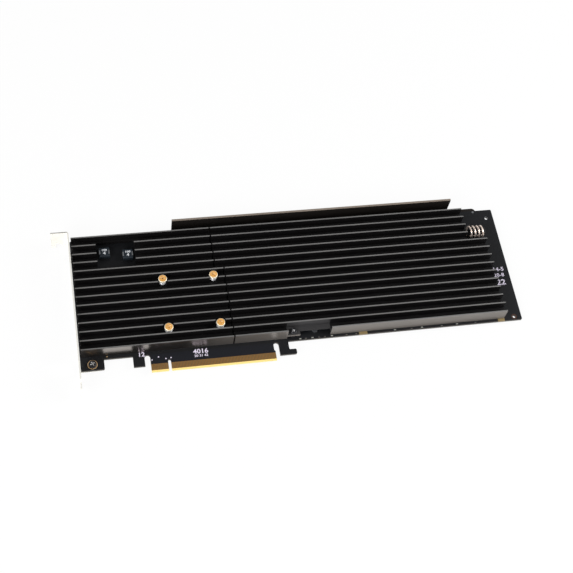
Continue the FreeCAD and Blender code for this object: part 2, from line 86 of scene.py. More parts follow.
def addBlock(name, low, high):
    deselectAll()
    size = Vector(high) - Vector(low)
    bpy.ops.mesh.primitive_cube_add(size=1, location=(Vector(high) + Vector(low)) / 2, scale=size)
    return bakePlace(nameNew(name))


def addDisc(name, radius, low, high, sides=40):
    deselectAll()
    bpy.ops.mesh.primitive_cylinder_add(
        vertices=sides, radius=radius, depth=high - low, location=(0, 0, (low + high) / 2))
    return bakePlace(nameNew(name))


def pickFaces(piece, test):  # leaves edit mode on, with those faces selected
    pickOnly(piece)
    bpy.ops.object.mode_set(mode="EDIT")
    bpy.context.tool_settings.mesh_select_mode = (False, False, True)
    bpy.ops.mesh.select_all(action="DESELECT")
    bpy.ops.object.mode_set(mode="OBJECT")
    for face in piece.data.polygons:
        face.select = test(face.center, face.normal)
    bpy.ops.object.mode_set(mode="EDIT")


def softenEdges(piece, width, steps=2):  # every sharp edge rolled over, as on a real part
    pickOnly(piece)
    modifier = piece.modifiers.new("Soften", "BEVEL")
    modifier.width = width
    modifier.segments = steps
    modifier.limit_method = "ANGLE"
    bpy.ops.object.modifier_apply(modifier=modifier.name)
    return piece


def cutAway(piece, tool):
    pickOnly(piece)
    modifier = piece.modifiers.new("Cut", "BOOLEAN")
    modifier.operation = "DIFFERENCE"
    modifier.solver = "EXACT"
    modifier.object = tool
    bpy.ops.object.modifier_apply(modifier=modifier.name)
    bpy.data.objects.remove(tool)
    return piece


def joinPieces(pieces, name):
    deselectAll()
    for piece in pieces:
        piece.select_set(True)
    bpy.context.view_layer.objects.active = pieces[0]
    if len(pieces) > 1:
        bpy.ops.object.join()
    return nameNew(name)


def copyTo(piece, place, turn):
    pickOnly(piece)
    bpy.ops.object.duplicate(linked=False)
    copy = bpy.context.active_object
    copy.matrix_world = Matrix.Translation(place) @ Matrix.Rotation(turn, 4, "Z")
    return bakePlace(copy)


def placeCopies(piece, places, name, turns=None):
    copies = [copyTo(piece, place, turns[i] if turns else 0.0) for i, place in enumerate(places)]
    bpy.data.objects.remove(piece)
    return joinPieces(copies, name)


def settle(piece, material, replaced=(), smooth=35):
    pickOnly(piece)
    bpy.ops.object.shade_smooth_by_angle(angle=math.radians(smooth))
    piece.data.materials.clear()
    piece.data.materials.append(material)
    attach(piece, "root")
    for node in replaced:
        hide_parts(node)
    return piece


def rowBoxes(node, gap=0.05 * mm):  # the boxes of a node's separate parts, in a row along X
    mesh = nodes[node].data
    faces = [[mesh.vertices[index].co for index in face.vertices] for face in mesh.polygons]
    rows = []
    for corners in sorted(faces, key=lambda corners: min(c.x for c in corners)):
        low = Vector([min(c[i] for c in corners) for i in range(3)])
        high = Vector([max(c[i] for c in corners) for i in range(3)])
        if rows and low.x < rows[-1][1].x + gap:
            low = Vector(map(min, low, rows[-1][0]))
            high = Vector(map(max, high, rows[-1][1]))
            rows.pop()
        rows.append((low, high))
    return rows


def hexColour(code):  # sRGB hex to linear
    values = []
    for start in (0, 2, 4):
        value = int(code[start:start + 2], 16) / 255
        values.append(value / 12.92 if value <= 0.04045 else ((value + 0.055) / 1.055) ** 2.4)
    return (*values, 1.0)


def addNode(tree, kind, inputs=None, **settings):  # an input is a value or another node's output
    node = tree.nodes.new(kind)
    for key, value in settings.items():
        setattr(node, key, value)
    for key, value in (inputs or {}).items():
        if isinstance(value, bpy.types.NodeSocket):
            tree.links.new(value, node.inputs[key])
        else:
            node.inputs[key].default_value = value
    return node


def startMaterial(name, metallic, roughness):
    material = bpy.data.materials.new(name)
    material.use_nodes = True
    tree = material.node_tree
    shader = tree.nodes["Principled BSDF"]
    shader.inputs["Metallic"].default_value = metallic
    shader.inputs["Roughness"].default_value = roughness
    return material, tree, shader, addNode(tree, "ShaderNodeTexCoord")


# every grain's noise, the part of its range that turns the gloss, and how far an ordinary
# finish goes below and above its roughness
grainLook = {"detail": 3.0, "roughness": 0.6, "from": 0.3, "to": 0.7, "spread": (0.82, 1.22)}
even = (1, 1, 1)  # a grain drawn out along no axis


def addGrain(tree, shader, place, size, depth, stretch, rough):
    # relief of a given grain size and depth in millimetres, with roughness that follows it
    mapped = addNode(tree, "ShaderNodeMapping", {"Vector": place, "Scale": stretch})
    noise = addNode(tree, "ShaderNodeTexNoise", {
        "Vector": mapped.outputs[0], "Scale": 1 / (size * mm),
        "Detail": grainLook["detail"], "Roughness": grainLook["roughness"]})
    bump = addNode(tree, "ShaderNodeBump", {
        "Height": noise.outputs[0], "Strength": 1.0, "Distance": depth * mm})
    polish = addNode(tree, "ShaderNodeMapRange", {
        "Value": noise.outputs[0], "From Min": grainLook["from"], "From Max": grainLook["to"],
        "To Min": rough[0], "To Max": rough[1]})
    tree.links.new(bump.outputs[0], shader.inputs["Normal"])
    tree.links.new(polish.outputs[0], shader.inputs["Roughness"])
    return noise.outputs[0]


def insideBox(tree, place, low, high):  # 1 within a box given in millimetres, 0 outside
    middle = (Vector(low) + Vector(high)) * mm / 2
    half = (Vector(high) - Vector(low)) * mm / 2
    moved = addNode(tree, "ShaderNodeVectorMath", {0: place, 1: middle}, operation="SUBTRACT")
    away = addNode(tree, "ShaderNodeVectorMath", {0: moved.outputs[0]}, operation="ABSOLUTE")
    axes = addNode(tree, "ShaderNodeSeparateXYZ", {0: away.outputs[0]})
    share = 1.0
    for index in range(3):
        near = addNode(tree, "ShaderNodeMath", {0: axes.outputs[index], 1: half[index]},
                       operation="LESS_THAN")
        both = addNode(tree, "ShaderNodeMath", {0: near.outputs[0], 1: share}, operation="MULTIPLY")
        share = both.outputs[0]
    return share


def paintLayers(tree, shader, layers):
    # layers lie one on another, each covering where its share is 1; a layer is one shade, or a
    # shade, a pattern and the shade that the pattern turns it to
    under = None
    for share, shade, *turned in layers:
        colour = hexColour(shade)
        if turned:
            blend = addNode(tree, "ShaderNodeMix", {0: turned[0], 6: colour, 7: hexColour(turned[1])},
                            data_type="RGBA")
            colour = blend.outputs[2]
        if under is not None:
            cover = addNode(tree, "ShaderNodeMix", {0: share, 6: under, 7: colour}, data_type="RGBA")
            colour = cover.outputs[2]
        under = colour
    tree.links.new(under, shader.inputs["Base Color"])


# an ordinary finish: a light and a dark shade in a fine grain, given by its size and depth in
# millimetres, with relief and roughness following it
def makeFinish(name, light, dark, metallic, roughness, grain, depth):
    material, tree, shader, coords = startMaterial(name, metallic, roughness)
    noise = addGrain(tree, shader, coords.outputs["Object"], grain, depth, even,
                     [roughness * share for share in grainLook["spread"]])
    paintLayers(tree, shader, [(1, dark, noise, light)])
    return material


# a zone's box goes this far past the faces it covers, or past the whole card, in millimetres
skirt = 1.0
reach = max(abs(v) for v in (*cadLow, *cadHigh)) / mm + 10

# black anodised aluminium extrusion: deep satin black with faint die lines along its length,
# drawn wider than they are so that they show; the fin tips carry a painted highlight in pale grey,
# and the outer wall a painted reflection of the floor in grey that darkens along X. The wall goes
# from polished by the bracket to satin, and its notch carries painted light in plain grey
anodise = {
    "black": "1a191a", "blackLight": "242223", "metal": 0.6, "rough": 0.42, "roughRange": (0.36, 0.5),
    "dieLine": 0.35, "lineDepth": 0.004, "lineStretch": (0.02, 1, 1),
    # the tip shades are a painted highlight on the fin tops
    "tipHighlight": "8b8a89", "tipHighlightPale": "9b9a98", "tipDepth": 0.12,
    # the wall shades are a painted reflection of the floor, darkening along X
    "wall": "99938e", "wallEnd": "736e69", "wallSkin": 0.15, "polishedAt": 10.0, "satinAt": 115.0,
    "wallRough": (0.28, 0.45), "wallMetal": (1.0, 0.25),
    # the recess shade is painted light on the faces inside the notch
    "recess": "525152", "notch": (82.0, 112.6, 9.0),
}


def makeAnodised():
    low, high = [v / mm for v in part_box("switch_heatsink")]
    material, tree, shader, coords = startMaterial("anodisedAluminium", anodise["metal"], anodise["rough"])
    place = coords.outputs["Object"]
    noise = addGrain(tree, shader, place, anodise["dieLine"], anodise["lineDepth"],
                     anodise["lineStretch"], anodise["roughRange"])
    # a painted highlight on the fin tops
    tipHighlights = insideBox(tree, place, (-reach, -reach, high.z - anodise["tipDepth"]), (reach, reach, reach))
    # the outer wall, which carries a painted reflection of the floor
    wall = insideBox(tree, place, (-reach, low.y - skirt, 0), (reach, low.y + anodise["wallSkin"], reach))
    notchLeft, notchRight, notchDepth = anodise["notch"]
    # painted light: the faces inside the notch in plain grey
    inner = insideBox(tree, place, (notchLeft, low.y - skirt, 0),
                      (notchRight, low.y + notchDepth, reach))
    axes = addNode(tree, "ShaderNodeSeparateXYZ", {0: place})
    along = addNode(tree, "ShaderNodeMapRange", {
        "Value": axes.outputs["X"],
        "From Min": anodise["polishedAt"] * mm, "From Max": anodise["satinAt"] * mm})
    paintLayers(tree, shader, [
        (1, anodise["black"], noise, anodise["blackLight"]),
        (inner, anodise["recess"]),
        (wall, anodise["wall"], along.outputs[0], anodise["wallEnd"]),
        (tipHighlights, anodise["tipHighlight"], noise, anodise["tipHighlightPale"])])
    polish = shader.inputs["Roughness"].links[0].from_socket
    wear = [addNode(tree, "ShaderNodeMapRange", {
        "Value": along.outputs[0], "To Min": ends[0], "To Max": ends[1]})
        for ends in (anodise["wallRough"], anodise["wallMetal"])]
    rough = addNode(tree, "ShaderNodeMix", {0: wall, 2: polish, 3: wear[0].outputs[0]})
    metal = addNode(tree, "ShaderNodeMix", {0: wall, 2: anodise["metal"], 3: wear[1].outputs[0]})
    tree.links.new(rough.outputs[0], shader.inputs["Roughness"])
    tree.links.new(metal.outputs[0], shader.inputs["Metallic"])
    return material


# black solder mask over glass-epoxy laminate: smooth, faintly uneven, semi-gloss, the copper
# tracks by the contacts a shade lighter; sooty cut edges, bare straw laminate on the tongue and
# in two spots of the front edge, and along the tongue's foot a bevel of bare laminate painted
# pale yellow, a painted reflection of the white floor
maskLook = {
    "black": "131416", "blackLight": "1c1d20", "metal": 0.0, "rough": 0.36, "roughRange": (0.3, 0.42),
    "orangePeel": 0.8, "peelDepth": 0.004,
    "track": "1c1e26", "trackPitch": 1.0, "trackTop": 13.0, "trackLevel": 0.5,
    "laminate": "96835a", "laminateDark": "826f4c", "bareSpots": [(133.0, 139.0), (235.0, 240.0)],
    # the bevel shade is bare laminate painted pale, a painted reflection of the white floor
    "edge": "2f2a22", "edgeLight": "3d362b", "edgeTilt": 0.5, "bevel": "ffe08c", "bevelTop": 1.15,
}


def makeMask():
    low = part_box("circuit_board")[0] / mm
    fingerLow, fingerHigh = [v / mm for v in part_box("edge_contacts")]
    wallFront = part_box("drive_heatsink")[0].y / mm
    material, tree, shader, coords = startMaterial("solderMask", maskLook["metal"], maskLook["rough"])
    place = coords.outputs["Object"]
    noise = addGrain(tree, shader, place, maskLook["orangePeel"], maskLook["peelDepth"],
                     even, maskLook["roughRange"])
    wave = addNode(tree, "ShaderNodeTexWave", {
        "Vector": place, "Scale": 1 / (maskLook["trackPitch"] * mm * math.pi)}, bands_direction="X")
    ridge = addNode(tree, "ShaderNodeMath", {0: wave.outputs["Fac"], 1: maskLook["trackLevel"]},
                    operation="GREATER_THAN")
    band = insideBox(tree, place, (fingerLow.x, fingerHigh.y, -skirt),
                     (fingerHigh.x, maskLook["trackTop"], skirt))
    tracks = addNode(tree, "ShaderNodeMath", {0: ridge.outputs[0], 1: band}, operation="MULTIPLY")
    # the cut edges are the faces that don't look up or down
    normal = addNode(tree, "ShaderNodeSeparateXYZ", {0: coords.outputs["Normal"]})
    flat = addNode(tree, "ShaderNodeMath", {0: normal.outputs["Z"]}, operation="ABSOLUTE")
    cut = addNode(tree, "ShaderNodeMath", {0: flat.outputs[0], 1: maskLook["edgeTilt"]},
                  operation="LESS_THAN")
    corner = (fingerLow.x - skirt, -skirt, low.z - skirt)
    tongue = insideBox(tree, place, corner, (fingerHigh.x + skirt, fingerHigh.y, skirt))
    # the tongue's foot: bare laminate painted pale as a painted reflection of the floor
    bevel = insideBox(tree, place, corner, (fingerHigh.x + skirt, maskLook["bevelTop"], skirt))
    bare = [insideBox(tree, place, (left, low.y, -skirt), (right, wallFront, skirt))
            for left, right in maskLook["bareSpots"]] + [tongue]
    paintLayers(tree, shader, [
        (1, maskLook["black"], noise, maskLook["blackLight"]),
        (tracks.outputs[0], maskLook["track"]),
        (cut.outputs[0], maskLook["edge"], noise, maskLook["edgeLight"]),
        *[(spot, maskLook["laminateDark"], noise, maskLook["laminate"]) for spot in bare],
        (bevel, maskLook["bevel"])])
    return material


# bright zinc on sheet steel: milky near-white with a faint rolling grain, drawn coarser than it
# is so that it shows, and a painted shade line in grey along the ear's rear edge
zincLook = {
    "white": "fbf9f2", "whiteDark": "f0ede4", "metal": 0.2, "rough": 0.4, "roughRange": (0.34, 0.46),
    # the rim shade is a painted shade line along the ear's rear edge
    "grain": 0.6, "grainDepth": 0.002, "grainStretch": (1, 0.1, 1), "rim": "6d6a64", "rimWidth": 0.45,
}


def makeZinc():
    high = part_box("slot_bracket")[1] / mm
    material, tree, shader, coords = startMaterial("brightZincPlate", zincLook["metal"], zincLook["rough"])
    place = coords.outputs["Object"]
    noise = addGrain(tree, shader, place, zincLook["grain"], zincLook["grainDepth"],
                     zincLook["grainStretch"], zincLook["roughRange"])
    # a painted shade line along the ear's rear edge
    rim = insideBox(tree, place, (-reach, high.y - zincLook["rimWidth"], -reach),
                    (reach, high.y + skirt, reach))
    paintLayers(tree, shader, [
        (1, zincLook["whiteDark"], noise, zincLook["white"]), (rim, zincLook["rim"])])
    return material


# rolled aluminium sheet, black anodised: satin, with a grain along its length, drawn coarser
# than it is so that it shows, and pale along the top of the flange
plateLook = {
    "black": "322e2b", "blackLight": "3b3633", "metal": 0.7, "rough": 0.4, "roughRange": (0.33, 0.49),
    "grain": 0.5, "grainDepth": 0.004, "grainStretch": (0.03, 1, 1),
    "paleMark": "b3a598", "paleMarkLight": "c4b6a8", "paleMarkDepth": 0.25,
}


def makePlate():
    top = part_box("rear_plate")[1].z / mm
    material, tree, shader, coords = startMaterial("anodisedSheet", plateLook["metal"], plateLook["rough"])
    place = coords.outputs["Object"]
    noise = addGrain(tree, shader, place, plateLook["grain"], plateLook["grainDepth"],
                     plateLook["grainStretch"], plateLook["roughRange"])
    paleMark = insideBox(tree, place, (-reach, -reach, top - plateLook["paleMarkDepth"]),
                     (reach, reach, top + skirt))
    paintLayers(tree, shader, [
        (1, plateLook["black"], noise, plateLook["blackLight"]),
        (paleMark, plateLook["paleMark"], noise, plateLook["paleMarkLight"])])
    return material


# black zinc with a slight oil sheen, and a painted highlight in white inside each cross recess;
# each node's heads have a radius and a recess that reaches so far from the middle
screwLook = {
    "black": "2a2a2d", "sheen": "4a4a4e", "metal": 0.6, "rough": 0.25, "roughRange": (0.2, 0.32),
    # the worn shade is a painted highlight inside the cross recesses
    "grain": 0.4, "grainDepth": 0.004, "paleMark": "ffffff", "rimLeft": 0.05, "recessDepth": 1.0,
    "heads": [("bracket_screws", 2.7, 1.7), ("notch_screw", 2.25, 1.2)],
}


def makeScrewSteel():
    material, tree, shader, coords = startMaterial("blackZincSteel", screwLook["metal"], screwLook["rough"])
    place = coords.outputs["Object"]
    noise = addGrain(tree, shader, place, screwLook["grain"], screwLook["grainDepth"],
                     even, screwLook["roughRange"])
    layers = [(1, screwLook["black"], noise, screwLook["sheen"])]
    for node, radius, half in screwLook["heads"]:
        low, high = [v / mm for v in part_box(node)]
        x, top = (low.x + high.x) / 2, high.z - screwLook["rimLeft"]
        for y in (low.y + radius, high.y - radius):
            # a painted highlight in white inside the cross recess
            recess = insideBox(tree, place, (x - half, y - half, high.z - screwLook["recessDepth"]),
                               (x + half, y + half, top))
            layers.append((recess, screwLook["paleMark"]))
    paintLayers(tree, shader, layers)
    return material


# turned brass with fine tool marks: warm on the flat top, with a painted highlight, almost
# cream, on the rolled rim and sides
brassLook = {
    "top": "ffc672", "topDark": "f5b159", "metal": 0.25, "rough": 0.36, "roughRange": (0.3, 0.42),
    # the rim shade is a painted highlight on the rolled rim and sides
    "toolMark": 0.12, "markDepth": 0.002, "rim": "fff6de", "flatness": 0.93,
}


def makeBrass():
    material, tree, shader, coords = startMaterial("turnedBrass", brassLook["metal"], brassLook["rough"])
    noise = addGrain(tree, shader, coords.outputs["Object"], brassLook["toolMark"],
                     brassLook["markDepth"], even, brassLook["roughRange"])
    normal = addNode(tree, "ShaderNodeSeparateXYZ", {0: coords.outputs["Normal"]})
    # faces that don't look straight up get the painted highlight
    side = addNode(tree, "ShaderNodeMath", {0: normal.outputs["Z"], 1: brassLook["flatness"]},
                   operation="LESS_THAN")
    paintLayers(tree, shader, [
        (1, brassLook["topDark"], noise, brassLook["top"]),
        (side.outputs[0], brassLook["rim"])])
    return material


anodised = makeAnodised()
mask = makeMask()
zincPlate = makeZinc()
# hard gold plated thinly over nickel: warm, with a soft shine
goldPlate = makeFinish("hardGoldPlate", "dba566", "c99257", 0.9, 0.38, 0.25, 0.001)
plateFinish = makePlate()
blackScrew = makeScrewSteel()
# nickel plating: almost a mirror
nickel = makeFinish("nickelPlate", "d8d5cf", "c6c3bd", 1.0, 0.2, 0.4, 0.001)
brass = makeBrass()
# drawn spring wire: bright, nearly white where it shines
springSteel = makeFinish("springWire", "ffffff", "f2f2f8", 0.45, 0.24, 0.2, 0.001)
# thick magnet wire, dipped in tin: pale, with the copper showing through in places
copperWire = makeFinish("tinnedCopperWire", "ffffff", "f0c9a8", 0.65, 0.2, 0.9, 0.002)
# fired ferrite: matt and nearly black, granular
ferrite = makeFinish("firedFerrite", "1e1e20", "151516", 0.0, 0.55, 0.15, 0.01)
# iron powder pressed to shape: matt slate, finely granular
pressedPowder = makeFinish("pressedIronPowder", "2b333b", "1f262d", 0.0, 0.45, 0.12, 0.012)
# gold flashed on bare pads: thin and pale
ringPlate = makeFinish("flashGold", "ecca9c", "d9b283", 0.3, 0.3, 0.3, 0.002)
# bare copper browned by air: dull and dark
dullCopper = makeFinish("oxidisedCopper", "5c4238", "4a342c", 0.5, 0.4, 0.3, 0.003)
# tin and solder left bright: silvery, faintly uneven
tin = makeFinish("solderTin", "d6d9dd", "bfc3c8", 0.9, 0.3, 0.3, 0.004)
# plated ends of small parts: plain grey
matteTin = makeFinish("matteTin", "9a9da1", "7f8286", 0.5, 0.45, 0.1, 0.003)
# moulded glass-filled nylon: matt black
blackPlastic = makeFinish("glassFilledNylon", "17171a", "111113", 0.0, 0.5, 0.2, 0.006)
# a chip's laminate carrier: dark green, half matt
chipGreen = makeFinish("packageLaminate", "24503a", "1d4230", 0.0, 0.4, 0.3, 0.002)
# silicone filled with ceramic powder: soft, dull grey
padGrey = makeFinish("siliconePad", "8a9099", "7a8089", 0.0, 0.8, 0.25, 0.02)
# nylon without colour, turned: cream, slightly waxy
natural = makeFinish("naturalNylon", "e4e0d4", "d8d3c4", 0.0, 0.45, 0.5, 0.004)
# white screen ink, slightly violet over the black mask
ink = makeFinish("screenInk", "f3ecfa", "dcd2e8", 0.0, 0.6, 0.15, 0.002)
# marking paint: cool white, matt
paintedDigit = makeFinish("markingPaint", "ffffff", "e6edf6", 0.0, 0.5, 0.15, 0.002)
# moulded epoxy with a diffuser: milky and glossy
lens = makeFinish("diffuseEpoxyLens", "b9b7ab", "a5a396", 0.0, 0.25, 0.4, 0.001)
# fired ceramic: matt brown
tanCeramic = makeFinish("firedCeramic", "6f5c44", "5f4f3b", 0.0, 0.5, 0.1, 0.004)

finishes = {
    "circuit_board": mask, "edge_contacts": goldPlate, "slot_bracket": zincPlate,
    "bracket_screws": blackScrew, "switch_heatsink": anodised, "drive_heatsink": anodised,
    "notch_screw": blackScrew, "spring_screws": brass, "screw_springs": springSteel,
    "switch_chip": chipGreen, "switch_lid": nickel, "switch_pad": padGrey,
    "power_inductors": pressedPowder, "choke_winding": copperWire, "choke_core": ferrite,
    "drive_sockets": blackPlastic, "drive_posts": tin, "drive_pads": padGrey,
    "rear_plate": plateFinish, "press_nuts": nickel, "plate_screws": blackScrew,
    "plate_spacers": natural, "status_lights": lens, "strip_capacitors": tanCeramic,
}
for node, finish in finishes.items():
    nodes[node].data.materials.clear()
    nodes[node].data.materials.append(finish)
print("finishes on", len(finishes), "nodes")


def makeScrew(name, sizes):  # its head stands on Z = 0 at the origin, its shank goes down
    head = addDisc(name, sizes["headRadius"], 0, sizes["headHeight"])
    pickFaces(head, lambda centre, normal: normal.z > upright)
    bpy.ops.mesh.region_to_loop()
    bpy.ops.mesh.bevel(offset=sizes["rimBevel"], segments=4, affect="EDGES")
    bpy.ops.object.mode_set(mode="OBJECT")
    pickFaces(head, lambda centre, normal: normal.z < -upright)
    bpy.ops.mesh.inset(thickness=sizes["headRadius"] - sizes["shankRadius"])
    bpy.ops.mesh.extrude_region_move(TRANSFORM_OT_translate={"value": (0, 0, -sizes["shankLength"])})
    bpy.ops.object.mode_set(mode="OBJECT")
    long, wide = sizes["recess"] / 2, sizes["recessWidth"] / 2
    floor, above = sizes["headHeight"] - sizes["recessDepth"], sizes["headHeight"] + mm
    cutAway(head, addBlock("barA", (-long, -wide, floor), (long, wide, above)))
    cutAway(head, addBlock("barB", (-wide, -long, floor), (wide, long, above)))
    return head


# how finely a coil is drawn, and the angle up to which its faces shade smoothly
coilSteps = {"wireSides": 10, "perTurn": 28, "smooth": 60}


def makeCoil(name, radius, wire, height, turns):  # round Z, its wire's middle from Z = 0 up
    deselectAll()
    bpy.ops.mesh.primitive_circle_add(
        vertices=coilSteps["wireSides"], radius=wire, fill_type="NOTHING",
        location=(radius, 0, 0), rotation=(math.pi / 2, 0, 0))
    coil = bakePlace(nameNew(name))
    pickOnly(coil)
    modifier = coil.modifiers.new("Wind", "SCREW")
    modifier.axis = "Z"
    modifier.angle = 2 * math.pi * turns
    modifier.screw_offset = height
    modifier.steps = modifier.render_steps = int(coilSteps["perTurn"] * turns)
    modifier.use_merge_vertices = False
    bpy.ops.object.modifier_apply(modifier=modifier.name)
    bpy.ops.object.mode_set(mode="EDIT")
    bpy.ops.mesh.select_all(action="SELECT")
    bpy.ops.mesh.fill_holes(sides=0)
    bpy.ops.mesh.select_all(action="SELECT")
    bpy.ops.mesh.normals_make_consistent(inside=False)
    bpy.ops.object.mode_set(mode="OBJECT")
    return coil


springScrew = {
    "headRadius": 3.0 * mm, "headHeight": 1.4 * mm, "rimBevel": 0.6 * mm, "shankRadius": 1.4 * mm,
    "shankLength": 13.0 * mm, "recess": 3.0 * mm, "recessWidth": 0.8 * mm, "recessDepth": 0.9 * mm,
    "turns": (0.4, 1.1, 0.2, 0.7),
}
low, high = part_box("spring_screws")
inset = springScrew["headRadius"]
seat = high.z - springScrew["headHeight"]
springSpots = [Vector((x, y, seat)) for x in (low.x + inset, high.x - inset)
               for y in (low.y + inset, high.y - inset)]
springHeads = placeCopies(makeScrew("springHead", springScrew), springSpots, "springScrewSet",
                          springScrew["turns"])
settle(springHeads, brass, ["spring_screws"])

springCoil = {"radius": 2.2 * mm, "wire": 0.36 * mm, "turns": 3.5}
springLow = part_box("screw_springs")[0]
coilHeight = seat - springLow.z - 2 * springCoil["wire"]
coil = makeCoil("springCoil", springCoil["radius"], springCoil["wire"], coilHeight, springCoil["turns"])
coilSpots = [Vector((spot.x, spot.y, springLow.z + springCoil["wire"])) for spot in springSpots]
settle(placeCopies(coil, coilSpots, "springSet"), springSteel, ["screw_springs"],
       coilSteps["smooth"])

tabScrew = {
    "headRadius": 2.7 * mm, "headHeight": 1.6 * mm, "rimBevel": 0.6 * mm, "shankRadius": 1.4 * mm,
    "shankLength": 3.3 * mm, "recess": 3.4 * mm, "recessWidth": 0.8 * mm, "recessDepth": 0.9 * mm,
    "turns": (0.5, 1.0),
}
low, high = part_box("bracket_screws")
tabX = (low.x + high.x) / 2
tabSpots = [Vector((tabX, y, 0)) for y in (low.y + tabScrew["headRadius"], high.y - tabScrew["headRadius"])]
settle(placeCopies(makeScrew("tabScrew", tabScrew), tabSpots, "tabScrewSet", tabScrew["turns"]),
       blackScrew, ["bracket_screws"])

notchScrew = {
    "headRadius": 2.25 * mm, "headHeight": 1.5 * mm, "rimBevel": 0.5 * mm, "shankRadius": 1.15 * mm,
    "shankLength": 8.0 * mm, "recess": 2.4 * mm, "recessWidth": 0.6 * mm, "recessDepth": 0.8 * mm,
    "turns": (0.3,),
}
low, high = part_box("notch_screw")
notchSpot = Vector(((low.x + high.x) / 2, (low.y + high.y) / 2, high.z - notchScrew["headHeight"]))
settle(placeCopies(makeScrew("notchScrew", notchScrew), [notchSpot], "notchScrewPiece", notchScrew["turns"]),
       blackScrew, ["notch_screw"])
print("screws and springs made")

# the choke's wire, wound about Z and then laid along X; its legs go down to the board
chokeWire = {"radius": 3.9 * mm, "wire": 0.6 * mm, "turns": 4, "legSides": 12, "spare": 2.5 * mm}
low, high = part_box("choke_winding")
chokeLength = high.x - low.x + chokeWire["spare"] - 2 * chokeWire["wire"]
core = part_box("choke_core")
middle = Vector((high.x - chokeWire["wire"] - chokeLength / 2, (low.y + high.y) / 2,
                 (core[0].z + core[1].z) / 2))
choke = makeCoil("chokeCoil", chokeWire["radius"], chokeWire["wire"], chokeLength, chokeWire["turns"])
choke.matrix_world = (Matrix.Translation(middle - Vector((chokeLength / 2, 0, 0)))
                      @ Matrix.Rotation(math.pi / 2, 4, "Y"))
bakePlace(choke)
legs = []
for side in (-1, 1):
    leg = addDisc("chokeLeg", chokeWire["wire"], 0, middle.z - chokeWire["radius"], chokeWire["legSides"])
    leg.location = (middle.x + side * chokeLength / 2, middle.y, 0)
    legs.append(bakePlace(leg))
settle(joinPieces([choke] + legs, "chokeWinding"), copperWire, ["choke_winding"],
       coilSteps["smooth"])
print("choke wound")

# a digit's height is this share of the type's size; weight fattens its strokes
digitLook = {"capShare": 0.7, "weight": 0.03, "curveSteps": 3}


def addDigits(name, text, height, middle, thickness, stretch):  # flat digits, closed all round
    deselectAll()
    bpy.ops.object.text_add()
    lettering = nameNew(name)
    lettering.data.body = text
    lettering.data.size = height * mm / digitLook["capShare"]
    lettering.data.align_x = "CENTER"
    lettering.data.align_y = "CENTER"
    lettering.data.offset = digitLook["weight"] * height * mm
    lettering.data.extrude = thickness * mm / 2
    lettering.data.resolution_u = digitLook["curveSteps"]
    pickOnly(lettering)
    bpy.ops.object.convert(target="MESH")
    lettering = nameNew(name)
    lettering.scale = (stretch, 1, 1)
    lettering.location = Vector(middle) + Vector((0, 0, thickness * mm / 2))
    return bakePlace(lettering)


# a moulded inductor: rolled edges, a shallow pocket in the top, and a tin clip folded over the
# top at each end; its digits are given by text, height and place along Y from the middle
inductor = {
    "roll": 0.45 * mm, "pocketRim": 0.75 * mm, "pocketDepth": 0.12 * mm, "topBand": 0.01 * mm,
    "clipWidth": 3.4 * mm, "clipReach": 0.9 * mm, "clipThickness": 0.16 * mm, "clipRise": 0.02 * mm,
    "clipRoll": 0.06 * mm, "digits": [("100", 1.5, 1.5), ("4", 2.3, -1.0)],
    "digitThickness": 0.1, "digitStretch": 1.2,
}
bodies, clips, numbers = [], [], []
for low, high in rowBoxes("power_inductors"):
    centre = (low + high) / 2
    body = softenEdges(addBlock("inductorBody", low, high), inductor["roll"], steps=3)
    pickFaces(body, lambda c, n: n.z > upright and c.z > high.z - inductor["topBand"])
    bpy.ops.mesh.inset(thickness=inductor["pocketRim"])
    bpy.ops.mesh.extrude_region_move(TRANSFORM_OT_translate={"value": (0, 0, -inductor["pocketDepth"])})
    bpy.ops.object.mode_set(mode="OBJECT")
    bodies.append(body)
    clipHalf = inductor["clipWidth"] / 2
    for start in (low.x, high.x - inductor["clipReach"]):
        clip = addBlock("clipTop", (start, centre.y - clipHalf, high.z - inductor["clipThickness"]),
                        (start + inductor["clipReach"], centre.y + clipHalf, high.z + inductor["clipRise"]))
        clips.append(softenEdges(clip, inductor["clipRoll"]))
    for text, height, offset in inductor["digits"]:
        spot = (centre.x, centre.y + offset * mm, high.z - inductor["pocketDepth"])
        numbers.append(addDigits("inductorNumber", text, height, spot,
                                 inductor["digitThickness"], inductor["digitStretch"]))
settle(joinPieces(bodies, "inductorBodies"), pressedPowder, ["power_inductors"])
settle(joinPieces(clips, "inductorClips"), tin)
settle(joinPieces(numbers, "inductorDigits"), paintedDigit)
print("inductors made")

# lights and capacitors: a body between two tinned ends, which the lights' domed lenses overtop;
# roll and drop are shares of a part's height
stripPart = {
    "endShare": 0.22, "bodyTuck": 0.9, "bodyInset": 0.06 * mm, "endRoll": 0.07 * mm,
    "light": {"roll": 0.3, "endDrop": 0.3}, "capacitor": {"roll": 0.1, "endDrop": 0.0},
}
lenses, ends, ceramics = [], [], []
for node, made, shape in (("status_lights", lenses, stripPart["light"]),
                          ("strip_capacitors", ceramics, stripPart["capacitor"])):
    for low, high in rowBoxes(node):
        size = high - low
        endLength = size.x * stripPart["endShare"]
        shelf = Vector((endLength * stripPart["bodyTuck"], stripPart["bodyInset"], 0))
        body = addBlock("stripBody", low + shelf, high - shelf - Vector((0, 0, stripPart["bodyInset"])))
        made.append(softenEdges(body, size.z * shape["roll"], steps=3))
        for start in (low.x, high.x - endLength):
            end = addBlock("stripEnd", (start, low.y, low.z),
                           (start + endLength, high.y, high.z - size.z * shape["endDrop"]))
            ends.append(softenEdges(end, stripPart["endRoll"]))
settle(joinPieces(lenses, "lightLenses"), lens, ["status_lights"])
settle(joinPieces(ceramics, "capacitorBodies"), tanCeramic, ["strip_capacitors"])
settle(joinPieces(ends, "stripEnds"), matteTin)
print("lights and capacitors made")

